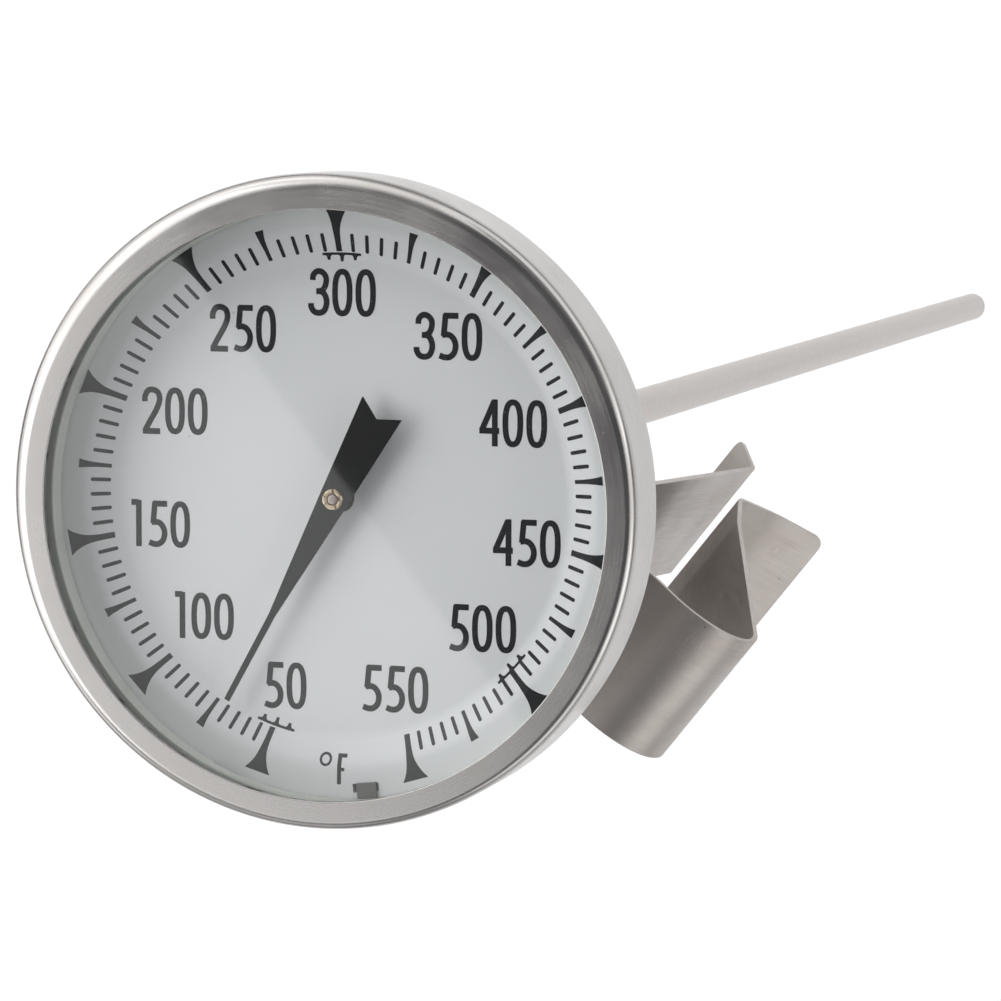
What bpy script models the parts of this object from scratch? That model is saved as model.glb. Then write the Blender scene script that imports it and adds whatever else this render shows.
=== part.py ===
"""Dial thermometer with a long stem and a pan clip, standing upright with its dial facing up.

The head is a case, a crimped bezel, a lens and a dial. The stem holds a bimetal helix that turns
the pointer through a long shaft. The head turns on the stem's hexagonal bush for calibration, and
the clip slides along the stem. Lengths are in metres and +Z is up. Every piece is drawn around
the datum, which is the point on the stem's axis level with the middle of the small dial marks.
The datum is then placed so that the origin lies on the clip's jaw face, where a pan wall bears.
"""

from math import atan2, cos, pi, radians, sin, tan

import bmesh
import bpy
from mathutils import Matrix, Vector

MM = 0.001

# Head, as radii and as heights over the datum
BEZEL_RADIUS = 30.85 * MM
BEZEL_SHEET = 0.70 * MM
BEZEL_FRONT = 6.00 * MM
BEZEL_BACK = -1.90 * MM
LIP_RADIUS = 27.81 * MM
BEZEL_CORNER = 1.24 * MM
CURL_RADIUS = 28.60 * MM

CASE_SHEET = 0.60 * MM
CASE_RIM_RADIUS = 29.75 * MM
CASE_RIM_TOP = 2.10 * MM
CASE_SHOULDER = -0.90 * MM
CASE_RADIUS = 28.20 * MM
CASE_BACK = -11.90 * MM
CASE_CORNER = 4.90 * MM
CASE_HOLE = 3.90 * MM

LENS_RADIUS = 29.70 * MM
LENS_BACK = 2.85 * MM
LENS_SHEET = 2.20 * MM
LENS_BEVEL = 0.15 * MM
GASKET_HEIGHT = 0.55 * MM
SPACER_INNER = 28.15 * MM
SPACER_OUTER = 28.95 * MM

# Dial: a flat centre, a sloping rim that carries the scale, and a flatter band outside it
DIAL_SHEET = 0.50 * MM
DIAL_HOLE = 1.40 * MM
DIAL_FLOOR = -0.80 * MM
DIAL_EDGE = 28.10 * MM
DIAL_OUTER = 28.95 * MM
RIM_FOOT = 22.80 * MM
RIM_BEND = 25.50 * MM
RIM_BEND_HEIGHT = 0.42 * MM
RIM_HEIGHT = 0.50 * MM
NOTCH_WIDTH = 2.60 * MM
NOTCH_DEPTH = 0.85 * MM
NOTCH_AZIMUTH = radians(173.8)

# Twelve o'clock on the dial, measured anticlockwise from +X, which is where the clip reaches out
DIAL_TURN = radians(128.5)

# Pointer at 70 degrees Fahrenheit, measured clockwise from twelve o'clock
POINTER_AZIMUTH = radians(208.85)
POINTER_HEIGHT = 1.10 * MM
POINTER_SHEET = 0.30 * MM
POINTER_TIP = 22.45 * MM
NEEDLE_START = 13.00 * MM
NEEDLE_WIDTH = 0.64 * MM
TIP_WIDTH = 0.54 * MM
POINTER_WAIST = 2.86 * MM
TAIL_LENGTH = 10.00 * MM
TAIL_NOTCH = 8.80 * MM
TAIL_WIDTH = 4.42 * MM
HUB_RADIUS = 1.00 * MM
HUB_FLANGE = 1.45 * MM
HUB_NECK = 0.78 * MM
HUB_HEAD = 0.30 * MM
HUB_FOOT = 0.50 * MM
POINTER_HOLE = 0.90 * MM

# Stem and what is inside it
STEM_RADIUS = 2.10 * MM
STEM_BORE = 1.65 * MM
STEM_TOP = -9.20 * MM
STEM_TIP = -312.80 * MM
TIP_COLLAR = 1.20 * MM
TIP_FLAT = 1.40 * MM
SHAFT_RADIUS = 0.50 * MM
SHAFT_TOP = 1.60 * MM
BUSHING_BORE = 0.60 * MM
BUSHING_LENGTH = 4.00 * MM
BUSHING_FLANGE = 0.60 * MM
BUSHING_SPACE = 2.00 * MM
HELIX_RADIUS = 1.30 * MM
HELIX_SHEET = 0.15 * MM
HELIX_STRIP = 2.20 * MM
HELIX_PITCH = 3.10 * MM
HELIX_TURNS = 18
HELIX_SIDES = 12
HELIX_BOTTOM = -307.60 * MM
ANCHOR_RADIUS = 1.14 * MM
ANCHOR_BORE = 0.62 * MM
ANCHOR_HEIGHT = 1.80 * MM

# Hexagonal calibration bush, with the case held on its neck
HEX_ACROSS_FLATS = 11.10 * MM
HEX_TOP = -13.15 * MM
HEX_HEIGHT = 4.40 * MM
NECK_RADIUS = 3.60 * MM
GROOVE_RADIUS = 3.00 * MM
SEAL_RADIUS = 4.55 * MM
SEAL_THICKNESS = 1.10 * MM
WASHER_OUTER = 6.40 * MM
RING_OUTER = 5.20 * MM
RING_SHEET = 0.50 * MM
RING_OPENING = radians(35)
GROOVE_ABOVE_BACK = 1.35 * MM
HEX_CHAMFER_OVERCUT = 0.10 * MM
WASHER_SHEET = 0.30 * MM
WASHER_DISH = 0.20 * MM

# Clip: one bent strip, drawn as its centre line in the XZ plane from the inner leg's lip to the
# outer leg's flap. Each row is distance from the stem's axis, height, and bend radius.
CLIP_SHEET = 0.55 * MM
CLIP_WIDTH = 15.60 * MM
CLIP_SHIFT = -0.45 * MM
CLIP_HOLE = 2.45 * MM
CLIP_CORNER = 1.30 * MM
CLIP_LINE = (
    (13.30, -98.00, 0.0),
    (17.35, -91.00, 3.0),
    (13.70, -42.50, 3.5),
    (-10.50, -33.40, 2.8),
    (-10.50, -27.20, 2.8),
    (24.50, -26.90, 12.0),
    (39.90, -23.50, 6.9),
    (23.00, -66.50, 20.0),
    (20.30, -75.60, 2.5),
    (24.25, -81.40, 15.0),
    (29.25, -86.40, 0.0),
)
INNER_LEG = 1
JAW_HEIGHT = -68.00 * MM

GAP = 0.10 * MM
FINE = 60
MEDIUM = 24
COARSE = 16


def clear_scene():
    for obj in list(bpy.data.objects):
        bpy.data.objects.remove(obj)


def new_collection(name):
    collection = bpy.data.collections.new(name)
    bpy.context.scene.collection.children.link(collection)
    return collection


def material(name, colour, roughness, metallic, alpha=1.0):
    made = bpy.data.materials.new(name)
    made.use_nodes = True
    shader = made.node_tree.nodes["Principled BSDF"]
    shader.inputs["Base Color"].default_value = (*colour, 1)
    shader.inputs["Roughness"].default_value = roughness
    shader.inputs["Metallic"].default_value = metallic
    shader.inputs["Alpha"].default_value = alpha
    made.diffuse_color = (*colour, alpha)
    return made


def place(name, data, look):
    """A new part, hung from the datum."""
    obj = bpy.data.objects.new(name, data)
    parts.objects.link(obj)
    obj.parent = datum
    obj.data.materials.append(look)
    return obj


def place_cutter(name, mesh):
    obj = bpy.data.objects.new(name, mesh)
    cutters.objects.link(obj)
    obj.parent = datum
    obj.hide_render = True
    obj.display_type = "WIRE"
    return obj


def boolean(obj, tool, operation):
    modifier = obj.modifiers.new(tool.name, "BOOLEAN")
    modifier.operation = operation
    modifier.object = tool
    return modifier


def line_mesh(name, points, closed):
    """A mesh of edges only, from points in the XZ plane."""
    mesh = bpy.data.meshes.new(name)
    count = len(points)
    edges = [(i, i + 1) for i in range(count - 1)]
    if closed:
        edges.append((count - 1, 0))
    mesh.from_pydata([(x, 0, z) for x, z in points], edges, [])
    return mesh


def turn(obj, steps):
    screw = obj.modifiers.new("turn", "SCREW")
    screw.axis = "Z"
    screw.angle = 2 * pi
    screw.steps = steps
    screw.render_steps = steps
    screw.use_merge_vertices = True
    screw.merge_threshold = 0.005 * MM
    screw.use_smooth_shade = True
    return screw


def turned(name, profile, look, steps, closed=True):
    """A turned piece. Its profile of (radius, height) runs down the outer side."""
    obj = place(name, line_mesh(name, profile, closed), look)
    turn(obj, steps)
    return obj


def ring(inner, outer, low, high):
    """The profile of a plain ring."""
    return [(outer, high), (outer, low), (inner, low), (inner, high)]


def arc(centre, radius, start, end, count):
    """Points on a circle's arc, both ends included, with the angles in degrees."""
    angles = [radians(start + (end - start) * i / count) for i in range(count + 1)]
    return [(centre[0] + radius * cos(a), centre[1] + radius * sin(a)) for a in angles]


def cylinder_mesh(name, radius, low, high, steps):
    mesh = bpy.data.meshes.new(name)
    bm = bmesh.new()
    centre = Matrix.Translation((0, 0, (low + high) / 2))
    bmesh.ops.create_cone(
        bm, cap_ends=True, segments=steps, radius1=radius, radius2=radius, depth=high - low, matrix=centre
    )
    bm.to_mesh(mesh)
    bm.free()
    return mesh


def rounded_line(rows, step=radians(15)):
    """The polyline through rows of (x, z, bend radius), with each inner corner made an arc."""
    points = [Vector(row[:2]) for row in rows]
    line = [points[0]]
    for before, corner, after, row in zip(points, points[1:], points[2:], rows[1:]):
        into = (corner - before).normalized()
        out = (after - corner).normalized()
        turned_by = atan2(into.cross(out), into.dot(out))
        start = corner - into * row[2] * tan(abs(turned_by) / 2)
        side = 1 if turned_by > 0 else -1
        centre = start + Vector((-into.y, into.x)) * row[2] * side
        count = max(2, round(abs(turned_by) / step))
        for i in range(count + 1):
            line.append(centre + Matrix.Rotation(turned_by * i / count, 2) @ (start - centre))
    line.append(points[-1])
    return line


def clip_rows():
    return [tuple(value * MM for value in row) for row in CLIP_LINE]


def jaw_face():
    """The middle of the inner leg's face that bears on a pan wall, measured from the datum."""
    low, high = (Vector(row[:2]) for row in clip_rows()[INNER_LEG : INNER_LEG + 2])
    along = (high - low).normalized()
    on_line = low + along * (JAW_HEIGHT - low.y) / along.y
    outwards = Vector((along.y, -along.x))
    return on_line + outwards * CLIP_SHEET / 2


def make_bezel():
    corner = (BEZEL_RADIUS - BEZEL_CORNER, BEZEL_FRONT - BEZEL_CORNER)
    curl = (BEZEL_RADIUS - BEZEL_SHEET, BEZEL_BACK + BEZEL_SHEET)
    profile = [(LIP_RADIUS, BEZEL_FRONT)]
    profile += arc(corner, BEZEL_CORNER, 90, 0, 5)
    profile += arc(curl, BEZEL_SHEET, 0, -90, 3)
    profile += [
        (CURL_RADIUS, BEZEL_BACK),
        (CURL_RADIUS, BEZEL_BACK + BEZEL_SHEET),
        (BEZEL_RADIUS - BEZEL_SHEET, BEZEL_BACK + BEZEL_SHEET),
        (BEZEL_RADIUS - BEZEL_SHEET, BEZEL_FRONT - BEZEL_SHEET),
        (LIP_RADIUS, BEZEL_FRONT - BEZEL_SHEET),
    ]
    turned("bezel_ring", profile, steel_bright, FINE)


def make_case():
    wall = CASE_CORNER - CASE_SHEET
    centre = (CASE_RADIUS - CASE_CORNER, CASE_BACK + CASE_CORNER)
    profile = [
        (CASE_RIM_RADIUS, CASE_RIM_TOP),
        (CASE_RIM_RADIUS, CASE_SHOULDER),
        (CASE_RADIUS, CASE_SHOULDER),
    ]
    profile += arc(centre, CASE_CORNER, 0, -90, 5)
    profile += [(CASE_HOLE, CASE_BACK), (CASE_HOLE, CASE_BACK + CASE_SHEET)]
    profile += arc(centre, wall, -90, 0, 4)
    profile += [
        (CASE_RADIUS - CASE_SHEET, CASE_SHOULDER + CASE_SHEET),
        (CASE_RIM_RADIUS - CASE_SHEET, CASE_SHOULDER + CASE_SHEET),
        (CASE_RIM_RADIUS - CASE_SHEET, CASE_RIM_TOP),
    ]
    turned("case_shell", profile, steel_bright, FINE)


def make_lens_and_rings():
    top = LENS_BACK + LENS_SHEET
    lens = [
        (0, top),
        (LENS_RADIUS - LENS_BEVEL, top),
        (LENS_RADIUS, top - LENS_BEVEL),
        (LENS_RADIUS, LENS_BACK + LENS_BEVEL),
        (LENS_RADIUS - LENS_BEVEL, LENS_BACK),
        (0, LENS_BACK),
    ]
    turned("lens", lens, glass, FINE, closed=False)
    seat = CASE_RIM_TOP + GAP
    inner = CASE_RIM_RADIUS - CASE_SHEET
    turned("lens_gasket", ring(inner, CASE_RIM_RADIUS, seat, seat + GASKET_HEIGHT), rubber, FINE)
    low = RIM_HEIGHT + 2 * GAP
    turned("spacer_ring", ring(SPACER_INNER, SPACER_OUTER, low, LENS_BACK - GAP), steel_dull, FINE)


def make_dial():
    skirt = CASE_SHOULDER + CASE_SHEET + GAP
    inner_skirt = DIAL_OUTER - DIAL_SHEET
    front = [
        (DIAL_HOLE, DIAL_FLOOR),
        (RIM_FOOT, DIAL_FLOOR),
        (RIM_BEND, RIM_BEND_HEIGHT),
        (DIAL_EDGE, RIM_HEIGHT),
        (DIAL_OUTER, RIM_HEIGHT),
        (DIAL_OUTER, skirt),
        (inner_skirt, skirt),
    ]
    back = [
        (inner_skirt, RIM_HEIGHT - DIAL_SHEET),
        (DIAL_EDGE, RIM_HEIGHT - DIAL_SHEET),
        (RIM_BEND, RIM_BEND_HEIGHT - DIAL_SHEET),
        (RIM_FOOT, DIAL_FLOOR - DIAL_SHEET),
        (DIAL_HOLE, DIAL_FLOOR - DIAL_SHEET),
    ]
    dial = turned("dial_plate", front + back, enamel, FINE)
    mesh = bpy.data.meshes.new("dial_notch")
    bm = bmesh.new()
    bmesh.ops.create_cube(bm, size=1)
    bmesh.ops.scale(bm, vec=(NOTCH_DEPTH, NOTCH_WIDTH, 4 * MM), verts=bm.verts)
    bmesh.ops.translate(bm, vec=(DIAL_EDGE - NOTCH_DEPTH / 2, 0, RIM_HEIGHT), verts=bm.verts)
    bm.to_mesh(mesh)
    bm.free()
    notch = place_cutter("dial_notch", mesh)
    notch.rotation_euler.z = DIAL_TURN - NOTCH_AZIMUTH
    boolean(dial, notch, "DIFFERENCE")


def make_pointer():
    """The pointer is drawn along +X, so that turning it by an angle points it at that angle."""
    outline = [
        (POINTER_TIP, TIP_WIDTH / 2),
        (NEEDLE_START, NEEDLE_WIDTH / 2),
        (0, POINTER_WAIST / 2),
        (-TAIL_LENGTH, TAIL_WIDTH / 2),
    ]
    notch = [(-TAIL_NOTCH, 0)]
    mirrored = [(x, -y) for x, y in reversed(outline)]
    hole = [(POINTER_HOLE * cos(a), POINTER_HOLE * sin(a)) for a in whole_turn(COARSE)]
    curve = flat_curve("pointer", [outline + notch + mirrored, hole], POINTER_SHEET)
    pointer = place("pointer", curve, black)
    pointer.location.z = POINTER_HEIGHT
    pointer.rotation_euler.z = DIAL_TURN - POINTER_AZIMUTH
    under = POINTER_HEIGHT - POINTER_SHEET / 2 - GAP
    over = POINTER_HEIGHT + POINTER_SHEET / 2 + GAP
    bore = SHAFT_RADIUS + GAP / 2
    hub = [
        (HUB_RADIUS, over + HUB_HEAD),
        (HUB_RADIUS, over),
        (HUB_NECK, over),
        (HUB_NECK, under),
        (HUB_FLANGE, under),
        (HUB_FLANGE, under - HUB_FOOT),
        (bore, under - HUB_FOOT),
        (bore, over + HUB_HEAD),
    ]
    turned("pointer_hub", hub, brass, COARSE)


def whole_turn(count):
    return [2 * pi * i / count for i in range(count)]


def flat_curve(name, outlines, thickness):
    """A flat plate from closed outlines, of which the later ones are holes."""
    curve = bpy.data.curves.new(name, "CURVE")
    curve.dimensions = "2D"
    curve.fill_mode = "BOTH"
    curve.extrude = thickness / 2
    for outline in outlines:
        spline = curve.splines.new("POLY")
        spline.points.add(len(outline) - 1)
        for point, (x, y) in zip(spline.points, outline):
            point.co = (x, y, 0, 1)
        spline.use_cyclic_u = True
    return curve


def make_shaft_and_helix():
    collar_top = HELIX_BOTTOM + HELIX_TURNS * HELIX_PITCH + HELIX_STRIP
    collar_low = collar_top - ANCHOR_HEIGHT
    shaft = cylinder_mesh("shaft", SHAFT_RADIUS, collar_low, SHAFT_TOP, COARSE)
    place("shaft", shaft, steel_dull)
    collar = ring(ANCHOR_BORE, ANCHOR_RADIUS, collar_low, collar_top)
    turned("helix_collar", collar, brass, COARSE)

    start = [(HELIX_RADIUS, HELIX_BOTTOM + HELIX_STRIP), (HELIX_RADIUS, HELIX_BOTTOM)]
    helix = place("bimetal_helix", line_mesh("bimetal_helix", start, False), bimetal)
    coil = turn(helix, HELIX_SIDES)
    coil.use_merge_vertices = False
    coil.screw_offset = HELIX_PITCH
    coil.iterations = HELIX_TURNS
    strip = helix.modifiers.new("strip", "SOLIDIFY")
    strip.thickness = HELIX_SHEET
    strip.offset = 0

    anchor_low = HELIX_BOTTOM
    anchor = ring(ANCHOR_BORE, ANCHOR_RADIUS, anchor_low, anchor_low + ANCHOR_HEIGHT)
    turned("helix_anchor", anchor, brass, COARSE)


def make_stem():
    tube_end = STEM_TIP + TIP_COLLAR + GAP
    turned("stem_tube", ring(STEM_BORE, STEM_RADIUS, tube_end, STEM_TOP), steel_stem, MEDIUM)
    rounding = STEM_RADIUS - TIP_FLAT
    spigot = STEM_BORE - GAP
    spigot_top = HELIX_BOTTOM - GAP
    pin_top = HELIX_BOTTOM + ANCHOR_HEIGHT
    plug = [
        (0, pin_top),
        (SHAFT_RADIUS, pin_top),
        (SHAFT_RADIUS, spigot_top),
        (spigot, spigot_top),
        (spigot, STEM_TIP + TIP_COLLAR),
        (STEM_RADIUS, STEM_TIP + TIP_COLLAR),
    ]
    plug += arc((TIP_FLAT, STEM_TIP + rounding), rounding, 0, -90, 3)
    plug.append((0, STEM_TIP))
    turned("tip_plug", plug, steel_stem, MEDIUM, closed=False)

    outside = STEM_BORE - GAP / 2
    lower = HELIX_BOTTOM + HELIX_TURNS * HELIX_PITCH + HELIX_STRIP + BUSHING_SPACE
    lower_ring = ring(BUSHING_BORE, outside, lower, lower + BUSHING_LENGTH)
    turned("lower_bushing", lower_ring, brass, MEDIUM)
    flange = STEM_TOP + GAP
    upper = [
        (STEM_RADIUS, flange + BUSHING_FLANGE),
        (STEM_RADIUS, flange),
        (outside, flange),
        (outside, flange - BUSHING_LENGTH),
        (BUSHING_BORE, flange - BUSHING_LENGTH),
        (BUSHING_BORE, flange + BUSHING_FLANGE),
    ]
    turned("upper_bushing", upper, brass, MEDIUM)


def make_hex_bush():
    low = HEX_TOP - HEX_HEIGHT
    groove_low = CASE_BACK + GROOVE_ABOVE_BACK
    groove_high = groove_low + RING_SHEET + 2 * GAP
    corner = HEX_ACROSS_FLATS / 2 / cos(pi / 6)
    bush = place("hex_bush", cylinder_mesh("hex_bush", corner, low, HEX_TOP, 6), steel_dull)
    outside = corner + HEX_CHAMFER_OVERCUT
    chamfer = outside - HEX_ACROSS_FLATS / 2
    limit = [
        (0, HEX_TOP),
        (outside - chamfer, HEX_TOP),
        (outside, HEX_TOP - chamfer / 2),
        (outside, low + chamfer / 2),
        (outside - chamfer, low),
        (0, low),
    ]
    chamfers = place_cutter("hex_chamfers", line_mesh("hex_chamfers", limit, False))
    turn(chamfers, MEDIUM)
    boolean(bush, chamfers, "INTERSECT")
    neck = [
        (0, STEM_TOP),
        (NECK_RADIUS, STEM_TOP),
        (NECK_RADIUS, groove_high),
        (GROOVE_RADIUS, groove_high),
        (GROOVE_RADIUS, groove_low),
        (NECK_RADIUS, groove_low),
        (NECK_RADIUS, HEX_TOP - MM),
        (0, HEX_TOP - MM),
    ]
    hex_neck = place_cutter("hex_neck", line_mesh("hex_neck", neck, False))
    turn(hex_neck, MEDIUM)
    boolean(bush, hex_neck, "UNION")
    bore = cylinder_mesh("hex_bore", STEM_RADIUS + GAP, low - MM, STEM_TOP + MM, MEDIUM)
    boolean(bush, place_cutter("hex_bore", bore), "DIFFERENCE")

    seal_centre = (SEAL_RADIUS, (HEX_TOP + CASE_BACK) / 2)
    section = arc(seal_centre, SEAL_THICKNESS / 2, 360, 0, 8)[:-1]
    turned("seal_ring", section, rubber, MEDIUM)

    rim = CASE_BACK + CASE_SHEET + GAP
    middle = rim + WASHER_DISH
    washer = [
        (WASHER_OUTER, rim + WASHER_SHEET),
        (WASHER_OUTER, rim),
        (CASE_HOLE, middle),
        (CASE_HOLE, middle + WASHER_SHEET),
    ]
    turned("friction_washer", washer, steel_dull, MEDIUM)

    sweep = [RING_OPENING + 2 * (pi - RING_OPENING) * i / MEDIUM for i in range(MEDIUM + 1)]
    inner = GROOVE_RADIUS + GAP
    outline = [(RING_OUTER * cos(a), RING_OUTER * sin(a)) for a in sweep]
    outline += [(inner * cos(a), inner * sin(a)) for a in reversed(sweep)]
    clip_ring = place("retaining_ring", flat_curve("retaining_ring", [outline], RING_SHEET), steel_dull)
    clip_ring.location.z = (groove_low + groove_high) / 2


def make_clip():
    line = rounded_line(clip_rows())
    mesh = bpy.data.meshes.new("pan_clip")
    bm = bmesh.new()
    rails = [[bm.verts.new((p.x, side * CLIP_WIDTH / 2 + CLIP_SHIFT, p.y)) for p in line] for side in (-1, 1)]
    for i in range(len(line) - 1):
        bm.faces.new((rails[0][i], rails[1][i], rails[1][i + 1], rails[0][i + 1]))
    ends = [rail[i] for rail in rails for i in (0, -1)]
    bmesh.ops.bevel(bm, geom=ends, offset=CLIP_CORNER, segments=4, profile=0.5, affect="VERTICES")
    bmesh.ops.recalc_face_normals(bm, faces=bm.faces)
    bm.to_mesh(mesh)
    bm.free()
    clip = place("pan_clip", mesh, steel_clip)
    sheet = clip.modifiers.new("sheet", "SOLIDIFY")
    sheet.thickness = CLIP_SHEET
    sheet.offset = 0
    sheet.use_even_offset = True
    hole = cylinder_mesh("clip_holes", CLIP_HOLE, -60 * MM, -20 * MM, MEDIUM)
    boolean(clip, place_cutter("clip_holes", hole), "DIFFERENCE")


clear_scene()
parts = new_collection("dial_thermometer")
cutters = new_collection("cutters")
face = jaw_face()
datum = bpy.data.objects.new("datum", None)
datum.location = (-face.x, 0, -face.y)
parts.objects.link(datum)

steel_bright = material("satin_steel", (0.60, 0.59, 0.58), 0.28, 1.0)
steel_stem = material("stem_steel", (0.66, 0.63, 0.60), 0.32, 1.0)
steel_clip = material("brushed_steel", (0.55, 0.51, 0.48), 0.38, 1.0)
steel_dull = material("plain_steel", (0.42, 0.42, 0.42), 0.45, 1.0)
glass = material("lens_glass", (0.94, 0.97, 0.97), 0.03, 0.0, alpha=0.25)
enamel = material("dial_enamel", (0.78, 0.83, 0.85), 0.50, 0.0)
black = material("black_paint", (0.02, 0.02, 0.02), 0.45, 0.0)
brass = material("brass", (0.72, 0.55, 0.30), 0.30, 1.0)
rubber = material("rubber", (0.03, 0.03, 0.03), 0.70, 0.0)
bimetal = material("bimetal_strip", (0.48, 0.44, 0.40), 0.40, 1.0)

make_bezel()
make_case()
make_lens_and_rings()
make_dial()
make_pointer()
make_shaft_and_helix()
make_stem()
make_hex_bush()
make_clip()
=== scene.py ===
"""Looks of the long-stem dial thermometer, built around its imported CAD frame.

Every visible piece is drawn again in mesh code with fine rounding, and rides on its CAD body.
Pieces are drawn in dial coordinates: the origin is on the stem's axis, level with the middle of
the small dial marks, and +Z points out of the dial. Azimuths on the dial run clockwise from
twelve o'clock. Lengths are in metres.
"""

from math import atan2, cos, degrees, pi, radians, sin, tan

import bmesh
import bpy
from mathutils import Matrix, Vector


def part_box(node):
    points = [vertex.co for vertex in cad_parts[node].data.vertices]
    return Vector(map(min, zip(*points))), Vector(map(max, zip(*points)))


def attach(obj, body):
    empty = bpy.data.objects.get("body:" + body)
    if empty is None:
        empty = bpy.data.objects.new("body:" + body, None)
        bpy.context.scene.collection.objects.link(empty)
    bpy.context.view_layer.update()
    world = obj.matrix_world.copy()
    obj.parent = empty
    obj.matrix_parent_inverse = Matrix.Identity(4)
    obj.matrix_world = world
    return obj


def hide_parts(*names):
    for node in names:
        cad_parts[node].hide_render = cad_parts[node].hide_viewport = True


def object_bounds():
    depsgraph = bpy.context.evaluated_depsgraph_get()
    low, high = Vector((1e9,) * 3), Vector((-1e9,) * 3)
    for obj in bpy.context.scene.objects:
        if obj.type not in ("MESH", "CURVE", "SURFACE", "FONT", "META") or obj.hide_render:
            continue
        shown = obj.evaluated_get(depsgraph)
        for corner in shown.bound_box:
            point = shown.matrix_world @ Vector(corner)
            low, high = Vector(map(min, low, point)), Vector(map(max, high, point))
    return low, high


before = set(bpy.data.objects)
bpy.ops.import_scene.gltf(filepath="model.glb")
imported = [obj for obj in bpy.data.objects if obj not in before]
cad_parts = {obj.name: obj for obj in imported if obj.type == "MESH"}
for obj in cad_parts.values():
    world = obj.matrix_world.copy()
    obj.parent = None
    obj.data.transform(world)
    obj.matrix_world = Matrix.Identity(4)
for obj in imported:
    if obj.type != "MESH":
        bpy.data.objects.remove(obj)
cad_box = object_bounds()

MM = 0.001

# Clearance between pieces, rounding of edges, and how far a cutter runs past what it cuts
GAP = 0.10 * MM
EDGE = 0.10 * MM
ROUND_EDGE = 0.15 * MM
SHARP_EDGE = 0.04 * MM
OVERRUN = 1.00 * MM

# Head
BEZEL_SHEET = 0.70 * MM
BEZEL_FRONT = 6.00 * MM
BEZEL_BACK = -1.90 * MM
BEZEL_CORNER = 1.24 * MM
BEZEL_INNER_CORNER = 0.55 * MM
HEM_BEND = 0.60 * MM
HEM_EDGE = 0.12 * MM
LIP_EDGE = 0.09 * MM
LIP_RADIUS = 27.81 * MM
LIP_OFFSET = (0.27 * MM, -0.31 * MM)
CURL_RADIUS = 28.60 * MM
CASE_SHEET = 0.60 * MM
CASE_RIM_RADIUS = 29.75 * MM
CASE_RIM_TOP = 2.10 * MM
CASE_SHOULDER = -0.90 * MM
CASE_RADIUS = 28.20 * MM
CASE_BACK = -11.90 * MM
CASE_CORNER = 4.90 * MM
CASE_RIM_BEND = 0.40 * MM
CASE_SHOULDER_BEND = 0.30 * MM
CASE_INNER_BEND = 0.20 * MM
CASE_HOLE = 3.90 * MM
LENS_RADIUS = 29.70 * MM
LENS_BACK = 2.85 * MM
LENS_SHEET = 2.20 * MM
GASKET_HEIGHT = 0.55 * MM
SPACER_INNER = 28.15 * MM
SPACER_OUTER = 28.95 * MM
SPACER_OFFSET = (0.22 * MM, -0.52 * MM)

# The lug on the spacer ring and the gap in it: length along the radius, width and height. The
# lug is turned a little from the notch, and drops a little below the ring
LUG_SIZE = (1.90 * MM, 1.95 * MM, 0.40 * MM)
LUG_RADIUS = 28.12 * MM
LUG_TURN = -0.30
LUG_DROP = 0.10 * MM
SLOT_SIZE = (3.00 * MM, 3.20 * MM, 0.90 * MM)
SLOT_RADIUS = 28.50 * MM
SLOT_AZIMUTH = 202.2

# Dial
DIAL_SHEET = 0.50 * MM
DIAL_HOLE = 1.40 * MM
DIAL_FLOOR = -0.80 * MM
DIAL_EDGE = 28.10 * MM
DIAL_OUTER = 28.95 * MM
MARK_RADIUS = 24.20 * MM
RIM_FOOT = 22.80 * MM
RIM_BEND = 25.50 * MM
RIM_BEND_HEIGHT = 0.42 * MM
RIM_HEIGHT = 0.50 * MM
RIM_CURVE = 2.60 * MM
DIAL_EDGE_BEND = 0.30 * MM
DIAL_BACK_BEND = 0.20 * MM
NOTCH_AZIMUTH = 173.8
NOTCH_WIDTH = 2.60 * MM
NOTCH_DEPTH = 0.85 * MM
NOTCH_HEIGHT = 4.00 * MM
TWELVE_OCLOCK = radians(128.5)

# Print: its thickness, how far it sinks into the dial, and how much crossing strokes differ
INK = 0.02 * MM
INK_SINK = INK / 4
INK_LIFT = INK / 5
# The step of print on the dial's slope, in millimetres
PRINT_STEP = 0.12

# Pointer and hub. The outline's rows are distance along the pointer and half width, in millimetres
POINTER_AZIMUTH = 208.85
POINTER_HEIGHT = 1.10 * MM
POINTER_SHEET = 0.30 * MM
POINTER_OUTLINE = ((22.45, 0.27), (13.00, 0.32), (0.00, 1.43), (-10.00, 2.21))
POINTER_NOTCH = 8.80 * MM
POINTER_HOLE = 0.90 * MM
POINTER_EDGE = 0.05 * MM
HUB_RADIUS = 1.00 * MM
HUB_FLANGE = 1.20 * MM
HUB_NECK = 0.78 * MM
HUB_HEAD = 0.30 * MM
HUB_FOOT = 0.50 * MM
HUB_CROWN = 0.12 * MM
HUB_NECK_EDGE = 0.03 * MM
HUB_FLANGE_EDGE = 0.06 * MM
HUB_BORE_EDGE = 0.02 * MM
HUB_CUT_EDGE = 0.025 * MM
# Punch marks of the staking tool, spread unevenly round the head: azimuth and width
PUNCHES = (
    (12, 0.30 * MM),
    (80, 0.46 * MM),
    (150, 0.26 * MM),
    (222, 0.52 * MM),
    (300, 0.34 * MM),
)
PUNCH_LENGTH = 0.70 * MM
PUNCH_HEIGHT = 0.42 * MM
PUNCH_RADIUS = 0.98 * MM
SHAFT_RADIUS = 0.50 * MM
SHAFT_TOP = 1.60 * MM
SHAFT_FOOT_EDGE = 0.05 * MM

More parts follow.
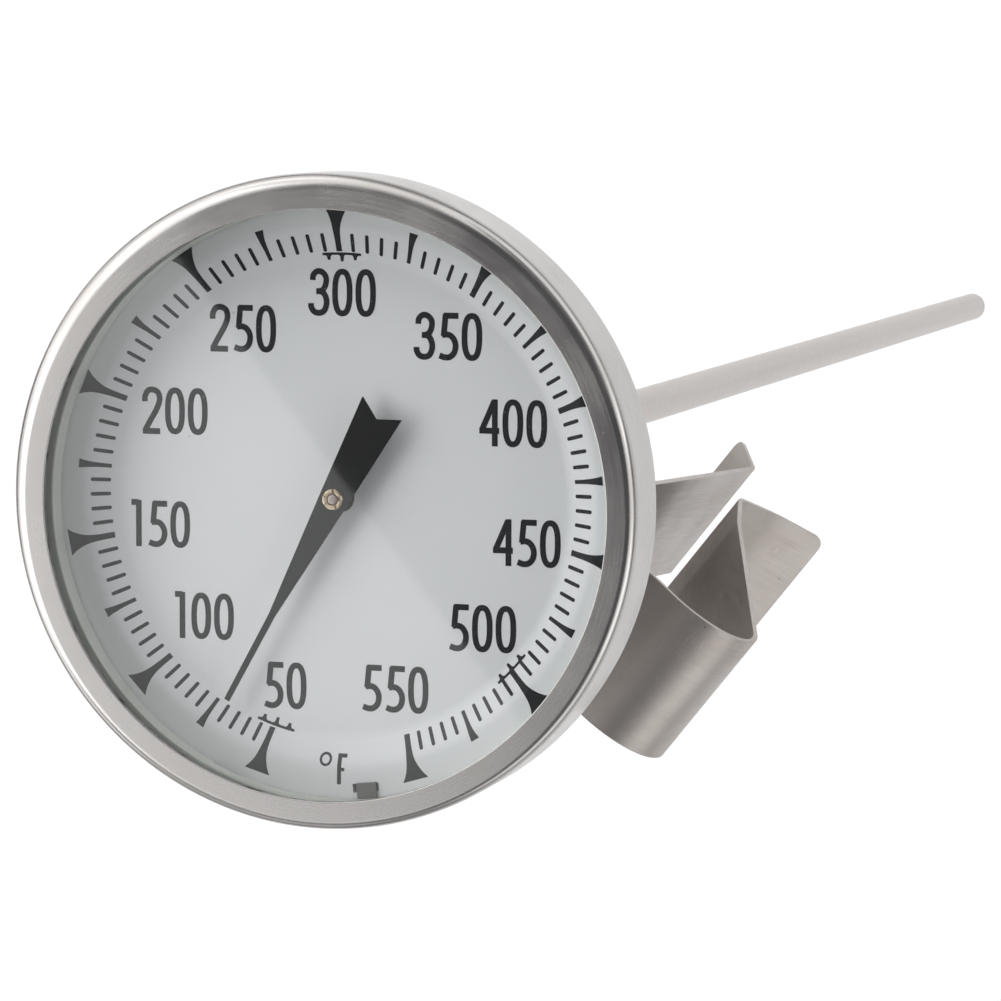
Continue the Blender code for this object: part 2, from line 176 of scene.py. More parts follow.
# Stem and bush
STEM_RADIUS = 2.10 * MM
STEM_BORE = 1.65 * MM
STEM_TOP = -9.20 * MM
STEM_TIP = -312.80 * MM
STEM_EDGE = 0.08 * MM
TIP_COLLAR = 1.20 * MM
TIP_FLAT = 1.40 * MM
HEX_ACROSS_FLATS = 11.10 * MM
HEX_TOP = -13.15 * MM
HEX_HEIGHT = 4.40 * MM
NECK_RADIUS = 3.60 * MM
SEAL_RADIUS = 4.55 * MM
SEAL_THICKNESS = 1.10 * MM

# Clip: distance from the stem's axis, height and bend radius, in millimetres
CLIP_LINE = (
    (13.30, -98.00, 0.0),
    (17.35, -91.00, 3.0),
    (13.70, -42.50, 3.5),
    (-10.50, -33.40, 2.8),
    (-10.50, -27.20, 2.8),
    (24.50, -26.90, 12.0),
    (39.90, -23.50, 6.9),
    (23.00, -66.50, 20.0),
    (20.30, -75.60, 2.5),
    (24.25, -81.40, 15.0),
    (29.25, -86.40, 0.0),
)
CLIP_SHEET = 0.55 * MM
CLIP_WIDTH = 15.60 * MM
CLIP_SHIFT = -0.45 * MM
CLIP_HOLE = 2.45 * MM
CLIP_CORNER = 1.30 * MM
CLIP_EDGE = 0.07 * MM
# The hole's cutter runs through the plate on the stem only
CLIP_HOLE_LOW = -60 * MM
CLIP_HOLE_HIGH = -20 * MM

# Camera, from the middle of the dial
CAMERA_DISTANCE = 412.4 * MM
CAMERA_AZIMUTH = radians(56.33)
CAMERA_ELEVATION = radians(69.80)
CAMERA_AIM = Vector((12.42, 10.31, 0.0)) * MM
CAMERA_ROLL = radians(108.78)
CAMERA_LENS = 156.62
CAMERA_CLIP = 10 * MM

# Light panels, in dial axes (x to three o'clock, y to twelve) from the dial's middle
VEIL_TOWARDS = Vector((-0.78, -0.62)).normalized()
VEIL_EDGE = 128.5 * MM
VEIL_SIZE = (0.36, 0.60)
VEIL_HEIGHT = 0.392
VEIL_SLIDE = -0.05
VEIL_BRIGHTNESS = 1.00
# Panels aimed at the dial: name, place, size and brightness
PANELS = (
    ("key", (-0.64, 0.10, 0.52), (1.10, 0.62), 2.15),
    ("top_left", (-0.20, 0.75, 0.45), (0.90, 0.60), 1.40),
    ("right", (0.74, -0.12, 0.24), (0.90, 0.60), 0.95),
    ("left_low", (-0.80, -0.20, 0.10), (0.90, 0.30), 0.90),
)
# Low panels that light the floor and what hangs below the head, a quarter turn apart
LOW_BRIGHTNESS = (1.05, 1.05, 0.40, 1.00)
LOW_SIZE = (0.80, 0.45)
LOW_REACH = 0.60
LOW_HEIGHT = -0.02
LOW_AIM_REACH = 0.16
LOW_AIM_HEIGHT = -0.30
# The studio's light by height: dim below the horizon, bright along it, dim overhead
SKY = (
    (0.00, (0.25, 0.25, 0.25)),
    (0.02, (0.62, 0.62, 0.63)),
    (0.75, (0.12, 0.12, 0.128)),
)
BACKDROP = (1.0, 1.0, 1.0)
FLOOR_HALF_SIZE = 0.65
FLOOR_DROP = 60 * MM

# Steps in a full turn
FINE = 256
MEDIUM = 96
COARSE = 48
# A corner that turns less than this many radians stays a point
STRAIGHT = 1e-4

stem_low, stem_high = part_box("stem_tube")
bezel_low, bezel_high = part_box("bezel_ring")
BEZEL_RADIUS = (bezel_high.x - bezel_low.x) / 2
DATUM = Vector(((stem_low.x + stem_high.x) / 2, 0, bezel_high.z - BEZEL_FRONT))
FLOOR = cad_box[0][2] - FLOOR_DROP


# ---- mesh helpers


def placed(name, bm, look=None):
    """An object from a bmesh in dial coordinates, with a look if it has one."""
    mesh = bpy.data.meshes.new(name)
    bm.to_mesh(mesh)
    bm.free()
    if look is not None:
        mesh.materials.append(look)
    thing = bpy.data.objects.new(name, mesh)
    bpy.context.scene.collection.objects.link(thing)
    thing.location = DATUM
    return thing


def finished(name, bm, look, body, nodes=(), smooth=True):
    """A piece from a bmesh in dial coordinates, riding on its body in place of its CAD nodes."""
    piece = placed(name, bm, look)
    if smooth:
        piece.data.polygons.foreach_set("use_smooth", [True] * len(piece.data.polygons))
    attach(piece, body)
    if nodes:
        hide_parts(*nodes)
    return piece


def cut(piece, tool, operation="DIFFERENCE"):
    """Cuts the piece's mesh with the tool and removes the tool, whose look stays on its cut."""
    modifier = piece.modifiers.new("cut", "BOOLEAN")
    modifier.operation = operation
    modifier.material_mode = "TRANSFER" if tool.data.materials else "INDEX"
    modifier.object = tool
    bake(piece)
    bpy.data.objects.remove(tool)


def bake(piece):
    """Replaces the piece's mesh by what its modifiers make of it."""
    bpy.context.view_layer.update()
    graph = bpy.context.evaluated_depsgraph_get()
    mesh = bpy.data.meshes.new_from_object(piece.evaluated_get(graph))
    piece.modifiers.clear()
    piece.data = mesh


def soften(piece, width, angle=35):
    """Rounds the edges sharper than the angle, and keeps flat faces flat in the shading."""
    bevel = piece.modifiers.new("edges", "BEVEL")
    bevel.width = width
    bevel.segments = 3
    bevel.limit_method = "ANGLE"
    bevel.angle_limit = radians(angle)
    flatten(piece)


def flatten(piece):
    """Weights the normals by area, so that large flat faces shade flat."""
    weighted = piece.modifiers.new("normals", "WEIGHTED_NORMAL")
    weighted.mode = "FACE_AREA_WITH_ANGLE"
    weighted.weight = 80
    weighted.keep_sharp = True


def rounded(rows, closed=False, step=15):
    """The line through rows of (x, z, radius), where each corner with a radius becomes an arc."""
    count = len(rows)
    corners = range(count) if closed else range(1, count - 1)
    line = [] if closed else [Vector(rows[0][:2])]
    for i in corners:
        before, corner, after = (Vector(rows[k % count][:2]) for k in (i - 1, i, i + 1))
        into = (corner - before).normalized()
        out = (after - corner).normalized()
        turned = atan2(into.cross(out), into.dot(out))
        radius = rows[i][2]
        if radius == 0 or abs(turned) < STRAIGHT:
            line.append(corner)
            continue
        parts = max(1, round(abs(turned) / radians(step)))
        start = corner - into * radius * tan(abs(turned) / 2)
        side = 1 if turned > 0 else -1
        centre = start + Vector((-into.y, into.x)) * radius * side
        for k in range(parts + 1):
            line.append(centre + Matrix.Rotation(turned * k / parts, 2) @ (start - centre))
    if not closed:
        line.append(Vector(rows[-1][:2]))
    return line


def spun(line, steps, closed=True):
    """A bmesh turned about the axis from a profile of (radius, height)."""
    bm = bmesh.new()
    rings = []
    for r, z in line:
        if r == 0:
            rings.append([bm.verts.new((0, 0, z))])
            continue
        angles = [2 * pi * i / steps for i in range(steps)]
        rings.append([bm.verts.new((r * cos(a), r * sin(a), z)) for a in angles])
    pairs = list(zip(rings, rings[1:]))
    if closed:
        pairs.append((rings[-1], rings[0]))
    for upper, lower in pairs:
        for i in range(steps):
            k = (i + 1) % steps
            corners = [upper[i % len(upper)], lower[i % len(lower)]]
            corners += [lower[k % len(lower)], upper[k % len(upper)]]
            corners = list(dict.fromkeys(corners))
            if len(corners) > 2:
                bm.faces.new(corners)
    bmesh.ops.recalc_face_normals(bm, faces=bm.faces)
    return bm


def ring_rows(inner, outer, low, high, edge):
    """The section of a plain ring with rounded edges, for a closed line."""
    return [(outer, high, edge), (outer, low, edge), (inner, low, edge), (inner, high, edge)]


def oval(half_width, half_height, count, power=2):
    """Points round an ellipse, or with more power round a shape between it and a rectangle."""
    line = []
    for i in range(count):
        a = 2 * pi * i / count
        x = half_width * abs(cos(a)) ** (2 / power) * (1 if cos(a) > 0 else -1)
        y = half_height * abs(sin(a)) ** (2 / power) * (1 if sin(a) > 0 else -1)
        line.append(Vector((x, y)))
    return line


def block(length, width, height, azimuth, radius, z):
    """A box with its length along the dial's radius, centred at an azimuth, a radius and a height."""
    bm = bmesh.new()
    bmesh.ops.create_cube(bm, size=1)
    bmesh.ops.scale(bm, vec=(length, width, height), verts=bm.verts)
    bmesh.ops.translate(bm, vec=(radius, 0, z), verts=bm.verts)
    turn_to(bm, azimuth)
    return bm


def turn_to(bm, azimuth):
    """Turns what was drawn along +X to a dial azimuth."""
    turned = Matrix.Rotation(TWELVE_OCLOCK - radians(azimuth), 3, "Z")
    bmesh.ops.rotate(bm, cent=(0, 0, 0), matrix=turned, verts=bm.verts)


def from_dial(x, y, z):
    """From dial axes (x to three o'clock, y to twelve) to the frame's."""
    return Matrix.Rotation(TWELVE_OCLOCK - pi / 2, 3, "Z") @ Vector((x, y, z))


def cylinder(radius, low, high, steps):
    """A solid cylinder on the axis."""
    bm = bmesh.new()
    bmesh.ops.create_cone(
        bm,
        cap_ends=True,
        segments=steps,
        radius1=radius,
        radius2=radius,
        depth=high - low,
        matrix=Matrix.Translation((0, 0, (low + high) / 2)),
    )
    return bm


def add_strip(bm, left, right, close=False):
    """A band of faces between two lines of points."""
    a = [bm.verts.new(p) for p in left]
    b = [bm.verts.new(p) for p in right]
    count = len(a) if close else len(a) - 1
    for i in range(count):
        k = (i + 1) % len(a)
        bm.faces.new((a[i], b[i], b[k], a[k]))


def thicken(bm, height):
    """Makes flat faces into a closed solid by raising a copy of them."""
    copied = bmesh.ops.extrude_face_region(bm, geom=list(bm.faces))
    lifted = [v for v in copied["geom"] if isinstance(v, bmesh.types.BMVert)]
    bmesh.ops.translate(bm, vec=(0, 0, height), verts=lifted)
    bmesh.ops.recalc_face_normals(bm, faces=bm.faces)


def finish_print(name, bm):
    """Thickens flat print and leaves it on the dial."""
    bmesh.ops.recalc_face_normals(bm, faces=bm.faces)
    if sum(f.normal.z for f in bm.faces) < 0:
        bmesh.ops.reverse_faces(bm, faces=bm.faces)
    thicken(bm, INK)
    finished(name, bm, INK_LOOK, "head", smooth=False)


# ---- material helpers


# Most of a noise texture's values lie between these
NOISE_LOW = 0.3
NOISE_HIGH = 0.7


def shaded(colour, *factors):
    """A colour times one factor or three."""
    return tuple(c * f for c, f in zip(colour, factors * (3 // len(factors))))


class Look:
    """A Principled material with its node tree at hand."""

    def __init__(self, name, colour, roughness, metallic=0.0, specular=0.5):
        self.material = bpy.data.materials.new(name)
        self.material.use_nodes = True
        self.tree = self.material.node_tree
        self.shader = self.tree.nodes["Principled BSDF"]
        self.shader.inputs["Base Color"].default_value = (*colour, 1)
        self.shader.inputs["Roughness"].default_value = roughness
        self.shader.inputs["Metallic"].default_value = metallic
        self.shader.inputs["Specular IOR Level"].default_value = specular
        self.place = self.node("ShaderNodeTexCoord").outputs["Object"]
        self.bump = None

    def node(self, kind, values=None, **settings):
        """A new node with its settings, and its inputs linked to sockets or set to constants."""
        made = self.tree.nodes.new(kind)
        for key, value in settings.items():
            setattr(made, key, value)
        for key, value in (values or {}).items():
            if isinstance(value, bpy.types.NodeSocket):
                self.tree.links.new(value, made.inputs[key])
            else:
                made.inputs[key].default_value = value
        return made

    def math(self, operation, first, second):
        """The result of a sum on sockets or constants."""
        return self.node("ShaderNodeMath", {0: first, 1: second}, operation=operation).outputs[0]

    def vector_math(self, operation, *values):
        """The outputs of a sum on vector sockets or constants."""
        return self.node("ShaderNodeVectorMath", dict(enumerate(values)), operation=operation).outputs

    def parts(self, vector):
        """The three coordinates of a vector socket."""
        return self.node("ShaderNodeSeparateXYZ", {0: vector}).outputs

    def scaled(self, *factors):
        """Object coordinates stretched by one factor or three, in cycles a metre."""
        return self.vector_math("MULTIPLY", self.place, factors * (3 // len(factors)))[0]

    def around(self, turns, across, down):
        """Coordinates for marks that run round the axis: slow along the turn, fast across it."""
        x, y, z = self.parts(self.place)
        flat = self.node("ShaderNodeCombineXYZ", {0: x, 1: y}).outputs[0]
        radius = self.vector_math("LENGTH", flat)["Value"]
        unit = self.parts(self.vector_math("NORMALIZE", flat)[0])
        values = {
            0: self.math("MULTIPLY", unit[0], turns),
            1: self.math("MULTIPLY", unit[1], turns),
            2: self.math("ADD", self.math("MULTIPLY", radius, across), self.math("MULTIPLY", z, down)),
        }
        return self.node("ShaderNodeCombineXYZ", values).outputs[0]

    def noise(self, where, detail=3.0, roughness=0.55):
        """Cloudy noise whose cycles are set by the coordinates it is given."""
        values = {"Vector": where, "Scale": 1.0, "Detail": detail, "Roughness": roughness}
        return self.node("ShaderNodeTexNoise", values).outputs["Fac"]

    def between(self, value, low, high, out_low=0.0, out_high=1.0):
        """The value's range from low to high, mapped onto another range and clamped to it."""
        values = {"Value": value, "From Min": low, "From Max": high}
        values |= {"To Min": out_low, "To Max": out_high}
        return self.node("ShaderNodeMapRange", values).outputs["Result"]

    def specks(self, cycles, size, share):
        """1 in scattered round specks, 0 elsewhere: cells' middles, in a share of the cells."""
        values = {"Vector": self.scaled(cycles), "Scale": 1.0}
        cells = self.node("ShaderNodeTexVoronoi", values).outputs
        near = self.between(cells["Distance"], size, size * 0.6)
        chosen = self.node("ShaderNodeSeparateColor", {0: cells["Color"]}).outputs[0]
        return self.math("MULTIPLY", near, self.math("LESS_THAN", chosen, share))

    def tint(self, share, colour):
        """Mixes a colour into the base colour by a factor socket."""
        socket = self.shader.inputs["Base Color"]
        mix = self.node("ShaderNodeMix", data_type="RGBA")
        factor, before, after = (mix.inputs[i] for i in (0, 6, 7))
        if socket.is_linked:
            self.tree.links.new(socket.links[0].from_socket, before)
        else:
            before.default_value = socket.default_value
        after.default_value = (*colour, 1)
        self.tree.links.new(share, factor)
        self.tree.links.new(mix.outputs[2], socket)

    def roughen(self, value):
        """Takes the roughness from a socket."""
        self.tree.links.new(value, self.shader.inputs["Roughness"])

    def vary(self, noise, low, high):
        """A value that follows a noise from low to high."""
        return self.between(noise, NOISE_LOW, NOISE_HIGH, low, high)

    def press(self, height, distance, strength):
        """Adds a height socket to the bump, whose full height is the distance in metres."""
        values = {"Height": height, "Distance": distance, "Strength": strength}
        if self.bump is not None:
            values["Normal"] = self.bump
        self.bump = self.node("ShaderNodeBump", values).outputs["Normal"]
        self.tree.links.new(self.bump, self.shader.inputs["Normal"])


# ---- materials


def spun_steel(name, colour, rough):
    """Satin stainless steel, polished on a lathe, with small nicks and faint smudges."""
    look = Look(name, colour, rough, metallic=1.0)
    lathe = look.noise(look.around(5, 6000, 6000), detail=5)
    smudge = look.noise(look.scaled(90), detail=3)
    fine = look.vary(lathe, rough - 0.03, rough + 0.04)
    look.roughen(look.math("ADD", fine, look.between(smudge, 0.35, 0.7, -0.03, 0.06)))
    look.tint(look.between(lathe, 0.35, 0.75, 0.0, 0.16), shaded(colour, 0.78))
    look.tint(look.between(smudge, 0.5, 0.75, 0.0, 0.25), shaded(colour, 0.86, 0.82, 0.76))
    nicks = look.specks(1000, 0.11, 0.03)
    look.tint(look.math("MULTIPLY", nicks, 0.6), (0.12, 0.11, 0.10))
    look.press(lathe, 0.001 * MM, 0.3)
    look.press(look.math("MULTIPLY", nicks, -1.0), 0.05 * MM, 0.6)
    return look.material


def drawn_steel(name, colour, rough):
    """Centreless-ground tube: fine marks round it, and long faint streaks."""
    look = Look(name, colour, rough, metallic=1.0)
    ground = look.noise(look.around(2, 0, 5000), detail=4)
    streaks = look.noise(look.scaled(900, 900, 12), detail=3)
    look.roughen(look.vary(ground, rough - 0.05, rough + 0.08))
    look.tint(look.between(streaks, 0.45, 0.7, 0.0, 0.30), shaded(colour, 0.80))
    look.tint(look.specks(900, 0.10, 0.02), (0.2, 0.18, 0.16))
    look.press(ground, 0.004 * MM, 0.4)
    return look.material


def brushed_strip(name, colour, rough):
    """Spring-steel strip, brushed along its length, with scratches from use and a warm cast."""
    look = Look(name, colour, rough, metallic=1.0)
    brush = look.noise(look.scaled(160, 8000, 160), detail=4)
    cloud = look.noise(look.scaled(120), detail=4)
    scuffs = look.noise(look.scaled(5200, 700, 2600), detail=3)
    worn = look.math("MULTIPLY", look.between(scuffs, 0.64, 0.70), look.between(cloud, 0.48, 0.60))
    base = look.vary(brush, rough - 0.06, rough + 0.08)
    look.roughen(look.math("ADD", base, look.vary(cloud, -0.04, 0.05)))
    look.tint(look.between(brush, 0.4, 0.75, 0.0, 0.16), shaded(colour, 0.80))
    look.tint(look.between(cloud, 0.40, 0.70, 0.0, 0.45), shaded(colour, 0.84, 0.80, 0.76))
    look.tint(look.math("MULTIPLY", worn, 0.4), shaded(colour, 1.35))
    specks = look.specks(850, 0.11, 0.04)
    look.tint(look.math("MULTIPLY", specks, 0.7), (0.10, 0.09, 0.08))
    look.press(brush, 0.003 * MM, 0.4)
    look.press(worn, -0.01 * MM, 0.5)
    return look.material


def turned_metal(name, colour, rough):
    """Plain machined metal with tool marks and a little tarnish."""
    look = Look(name, colour, rough, metallic=1.0)
    tool = look.noise(look.around(2, 9000, 7000), detail=3)
    tarnish = look.noise(look.scaled(600), detail=4)
    look.roughen(look.vary(tool, rough - 0.06, rough + 0.08))
    look.tint(look.between(tarnish, 0.45, 0.75, 0.0, 0.5), shaded(colour, 0.55))
    look.press(tool, 0.008 * MM, 0.6)
    return look.material


def dial_enamel():
    """Matt white enamel with a cool cast, a faint orange peel and a little dust."""
    look = Look("dial_enamel", (0.825, 0.831, 0.840), 0.42, specular=0.35)
    mottle = look.noise(look.scaled(60), detail=3)
    look.tint(look.between(mottle, 0.35, 0.7, 0.0, 0.35), (0.785, 0.800, 0.815))
    dust = look.specks(520, 0.07, 0.05)
    look.tint(look.math("MULTIPLY", dust, 0.45), (0.30, 0.31, 0.32))
    peel = look.noise(look.scaled(1500), detail=2)
    look.press(peel, 0.006 * MM, 0.5)
    look.roughen(look.vary(mottle, 0.38, 0.48))
    return look.material


def dial_ink():
    """Black screen print, with pinholes and thin spots."""
    look = Look("dial_ink", (0.009, 0.011, 0.012), 0.45, specular=0.2)
    thin = look.noise(look.scaled(3600), detail=3)
    look.tint(look.between(thin, 0.66, 0.74, 0.0, 0.35), (0.45, 0.47, 0.48))
    look.roughen(look.vary(thin, 0.36, 0.50))
    return look.material


def pointer_paint():
    """Black paint with a faint orange peel and a little dust."""
    look = Look("pointer_paint", (0.008, 0.008, 0.008), 0.36, specular=0.18)
    peel = look.noise(look.scaled(1800), detail=3)
    look.roughen(look.vary(peel, 0.30, 0.42))
    look.tint(look.specks(900, 0.08, 0.05), (0.25, 0.25, 0.25))
    look.press(peel, 0.004 * MM, 0.5)
    return look.material


def spacer_paint():
    """The grey-green inner wall between dial and lens."""
    look = Look("spacer_paint", (0.66, 0.68, 0.62), 0.50)
    rolled = look.noise(look.around(4, 0, 6000), detail=3)
    look.tint(look.between(rolled, 0.4, 0.7, 0.0, 0.4), (0.56, 0.58, 0.52))
    look.roughen(look.vary(rolled, 0.42, 0.58))
    look.press(rolled, 0.006 * MM, 0.5)
    return look.material


def black_rubber():
    """Matt rubber with a fine grain and pale patches."""
    look = Look("black_rubber", (0.022, 0.022, 0.023), 0.66, specular=0.3)
    grain = look.noise(look.scaled(4000), detail=4)
    look.roughen(look.vary(grain, 0.58, 0.76))
    patches = look.noise(look.scaled(300))
    look.tint(look.between(patches, 0.5, 0.8, 0.0, 0.3), (0.06, 0.06, 0.055))
    look.press(grain, 0.01 * MM, 0.6)
    return look.material


# A pane mirrors a little over twice what its front face does
BOTH_FACES = 2.1


def lens_pane():
    """Flat glass: clear straight through, and mirroring as both its faces do together."""
    look = Look("lens_pane", (1, 1, 1), 0.02)
    look.tree.nodes.remove(look.shader)
    fresnel = look.node("ShaderNodeFresnel", {"IOR": 1.5}).outputs[0]
    behind = look.node("ShaderNodeNewGeometry").outputs["Backfacing"]
    front = look.math("SUBTRACT", 1.0, behind)
    share = look.math("MULTIPLY", look.math("MULTIPLY", fresnel, BOTH_FACES), front)
    clear = look.node("ShaderNodeBsdfTransparent", {"Color": (0.985, 0.99, 0.988, 1)})
    mirror = look.node("ShaderNodeBsdfAnisotropic", {"Roughness": 0.03})
    mixed = look.node("ShaderNodeMixShader", {0: share, 1: clear.outputs[0], 2: mirror.outputs[0]})
    output = look.tree.nodes["Material Output"]
    look.tree.links.new(mixed.outputs[0], output.inputs["Surface"])
    return look.material


BEZEL_LOOK = spun_steel("bezel_steel", (0.445, 0.430, 0.417), 0.24)
CASE_LOOK = spun_steel("case_steel", (0.48, 0.472, 0.465), 0.32)
STEM_LOOK = drawn_steel("stem_steel", (0.455, 0.420, 0.395), 0.32)
CLIP_LOOK = brushed_strip("clip_steel", (0.43, 0.398, 0.374), 0.42)
PLAIN_LOOK = turned_metal("plain_steel", (0.42, 0.42, 0.41), 0.38)
TAB_LOOK = turned_metal("tab_steel", (0.20, 0.195, 0.19), 0.45)
SPINDLE_LOOK = turned_metal("spindle_steel", (0.40, 0.34, 0.31), 0.42)
BRASS_LOOK = turned_metal("hub_brass", (0.62, 0.50, 0.34), 0.32)
BIMETAL_LOOK = turned_metal("bimetal_strip", (0.48, 0.44, 0.40), 0.40)
ENAMEL_LOOK = dial_enamel()
INK_LOOK = dial_ink()
POINTER_LOOK = pointer_paint()
SPACER_LOOK = spacer_paint()
RUBBER_LOOK = black_rubber()
LENS_LOOK = lens_pane()


# ---- head


# The dial's floor, its sloping rim with the scale, and the flatter band outside that
DIAL_FRONT = (
    (DIAL_HOLE, DIAL_FLOOR, SHARP_EDGE),
    (RIM_FOOT, DIAL_FLOOR, RIM_CURVE),
    (RIM_BEND, RIM_BEND_HEIGHT, RIM_CURVE),
    (DIAL_EDGE, RIM_HEIGHT, DIAL_EDGE_BEND),
    (DIAL_OUTER, RIM_HEIGHT, EDGE),
)
DIAL_SURFACE = rounded(DIAL_FRONT, step=3)


def dial_height(radius):
    """The height of the dial's surface at a radius."""
    for inner, outer in zip(DIAL_SURFACE, DIAL_SURFACE[1:]):
        if inner.x <= radius < outer.x:
            share = (radius - inner.x) / (outer.x - inner.x)
            return inner.y + (outer.y - inner.y) * share
    return DIAL_FLOOR


def make_bezel():
    """The drawn ring, with a flat front lip and a hem curled in behind the case's rim."""
    inner = BEZEL_RADIUS - BEZEL_SHEET
    rows = [
        (LIP_RADIUS, BEZEL_FRONT, LIP_EDGE),
        (BEZEL_RADIUS, BEZEL_FRONT, BEZEL_CORNER),
        (BEZEL_RADIUS, BEZEL_BACK, HEM_BEND),
        (CURL_RADIUS, BEZEL_BACK, HEM_EDGE),
        (CURL_RADIUS, BEZEL_BACK + BEZEL_SHEET, HEM_EDGE),
        (inner, BEZEL_BACK + BEZEL_SHEET, HEM_EDGE),
        (inner, BEZEL_FRONT - BEZEL_SHEET, BEZEL_INNER_CORNER),
        (LIP_RADIUS, BEZEL_FRONT - BEZEL_SHEET, ROUND_EDGE),
    ]
    bm = spun(rounded(rows, closed=True, step=9), FINE)
    # The crimped lip sits a little off the ring's centre
    offset = from_dial(*LIP_OFFSET, 0)
    for v in bm.verts:
        if v.co.z > LENS_BACK + LENS_SHEET / 2:
            share = (BEZEL_RADIUS - v.co.xy.length) / BEZEL_CORNER
            v.co += offset * min(max(share, 0), 1)
    flatten(finished("bezel", bm, BEZEL_LOOK, "head", ["bezel_ring"]))


def make_case():
    """The drawn cup behind the dial, with a wide rim under the lens and a hole for the bush."""
    inner = CASE_RADIUS - CASE_SHEET
    rows = [
        (CASE_RIM_RADIUS, CASE_RIM_TOP, EDGE),
        (CASE_RIM_RADIUS, CASE_SHOULDER, CASE_RIM_BEND),
        (CASE_RADIUS, CASE_SHOULDER, CASE_SHOULDER_BEND),
        (CASE_RADIUS, CASE_BACK, CASE_CORNER),
        (CASE_HOLE, CASE_BACK, EDGE),
        (CASE_HOLE, CASE_BACK + CASE_SHEET, EDGE),
        (inner, CASE_BACK + CASE_SHEET, CASE_CORNER - CASE_SHEET),
        (inner, CASE_SHOULDER + CASE_SHEET, CASE_INNER_BEND),
        (CASE_RIM_RADIUS - CASE_SHEET, CASE_SHOULDER + CASE_SHEET, CASE_INNER_BEND),
        (CASE_RIM_RADIUS - CASE_SHEET, CASE_RIM_TOP, EDGE),
    ]
    bm = spun(rounded(rows, closed=True, step=9), FINE)
    flatten(finished("case", bm, CASE_LOOK, "head", ["case_shell"]))


def make_lens():
    """A flat disc of glass."""
    top = LENS_BACK + LENS_SHEET
    rows = [
        (0, top, 0),
        (LENS_RADIUS, top, ROUND_EDGE),
        (LENS_RADIUS, LENS_BACK, ROUND_EDGE),
        (0, LENS_BACK, 0),
    ]
    bm = spun(rounded(rows, step=22), FINE, closed=False)
    flatten(finished("lens_glass", bm, LENS_LOOK, "head", ["lens"]))


def make_gasket():
    """The ring that seals the lens on the case's rim."""
    low = CASE_RIM_TOP + GAP
    rows = ring_rows(CASE_RIM_RADIUS - CASE_SHEET, CASE_RIM_RADIUS, low, low + GASKET_HEIGHT, ROUND_EDGE)
    bm = spun(rounded(rows, closed=True), FINE)
    flatten(finished("gasket", bm, RUBBER_LOOK, "head", ["lens_gasket"]))


def make_spacer():
    """The ring between dial and lens, whose inner wall shows."""
    low = RIM_HEIGHT + 2 * GAP
    rows = ring_rows(SPACER_INNER, SPACER_OUTER, low, LENS_BACK - GAP, EDGE)
    bm = spun(rounded(rows, closed=True), FINE)
    # Its inner wall sits a little off the ring's centre
    offset = from_dial(*SPACER_OFFSET, 0)
    for v in bm.verts:
        if v.co.xy.length < (SPACER_INNER + SPACER_OUTER) / 2:
            v.co += offset
    spacer = finished("spacer", bm, SPACER_LOOK, "head", ["spacer_ring"])
    # A dark lug hangs from the ring into the dial's notch, and a gap in the ring's foot shows dark
    spacer.data.materials.append(TAB_LOOK)
    lug = block(*LUG_SIZE, NOTCH_AZIMUTH + LUG_TURN, LUG_RADIUS, low - LUG_DROP)
    cut(spacer, placed("lug", lug, TAB_LOOK), "UNION")
    cut(spacer, placed("gap", block(*SLOT_SIZE, SLOT_AZIMUTH, SLOT_RADIUS, low)))
    flatten(spacer)


def make_dial():
    """The dial plate, with a notch at its foot and a skirt that stands on the case's shoulder."""
    back_edge = RIM_HEIGHT - DIAL_SHEET
    skirt = CASE_SHOULDER + CASE_SHEET + GAP
    inner_skirt = DIAL_OUTER - DIAL_SHEET
    back = [
        (DIAL_OUTER, skirt, EDGE),
        (inner_skirt, skirt, EDGE),
        (inner_skirt, back_edge, EDGE),
        (DIAL_EDGE, back_edge, DIAL_BACK_BEND),
        (RIM_BEND, RIM_BEND_HEIGHT - DIAL_SHEET, RIM_CURVE),
        (RIM_FOOT, DIAL_FLOOR - DIAL_SHEET, RIM_CURVE),
        (DIAL_HOLE, DIAL_FLOOR - DIAL_SHEET, SHARP_EDGE),
    ]
    bm = spun(rounded(list(DIAL_FRONT) + back, closed=True, step=6), FINE)
    dial = finished("dial", bm, ENAMEL_LOOK, "head", ["dial_plate"])
    middle = DIAL_EDGE - NOTCH_DEPTH / 2
    notch = block(NOTCH_DEPTH, NOTCH_WIDTH, NOTCH_HEIGHT, NOTCH_AZIMUTH, middle, RIM_HEIGHT)
    cut(dial, placed("notch", notch))
    flatten(dial)


# ---- print on the dial


SCALE_LOW = 50
SCALE_HIGH = 550
SCALE_MIDDLE = (SCALE_LOW + SCALE_HIGH) / 2
# Degrees of the dial for the whole scale, if it kept the spacing at its middle, and what it loses
SCALE_SWEEP = 341.6
SCALE_CLOSING = 61.0
MARK_EVERY = 5
MEDIUM_EVERY = 25
MAJOR_EVERY = 50
# Rows of (radius, half width) of a short mark, in millimetres
SHORT_MARK = ((23.30, 0.09), (23.39, 0.175), (24.20, 0.185), (24.99, 0.175), (25.08, 0.09))
# Inner and outer radius, half width at each, and the power that makes the flanks concave
MEDIUM_MARK = (23.32 * MM, 26.30 * MM, 0.19 * MM, 0.44 * MM, 2.4)
MAJOR_MARK = (23.32 * MM, 27.70 * MM, 0.28 * MM, 1.30 * MM, 3.4)


def scale_azimuth(temperature):
    """The scale's marks stand widest apart in its middle and close up towards both ends."""
    u = (temperature - SCALE_MIDDLE) / (SCALE_HIGH - SCALE_LOW)
    return SCALE_SWEEP * u - SCALE_CLOSING * u**3


def print_point(x, y, lift=0.0):
    """A point of print: x towards three o'clock and y towards twelve, laid on the dial."""
    flat = Matrix.Rotation(TWELVE_OCLOCK - pi / 2, 2) @ Vector((x, y))
    return Vector((flat.x, flat.y, dial_height(flat.length) - INK_SINK + lift))


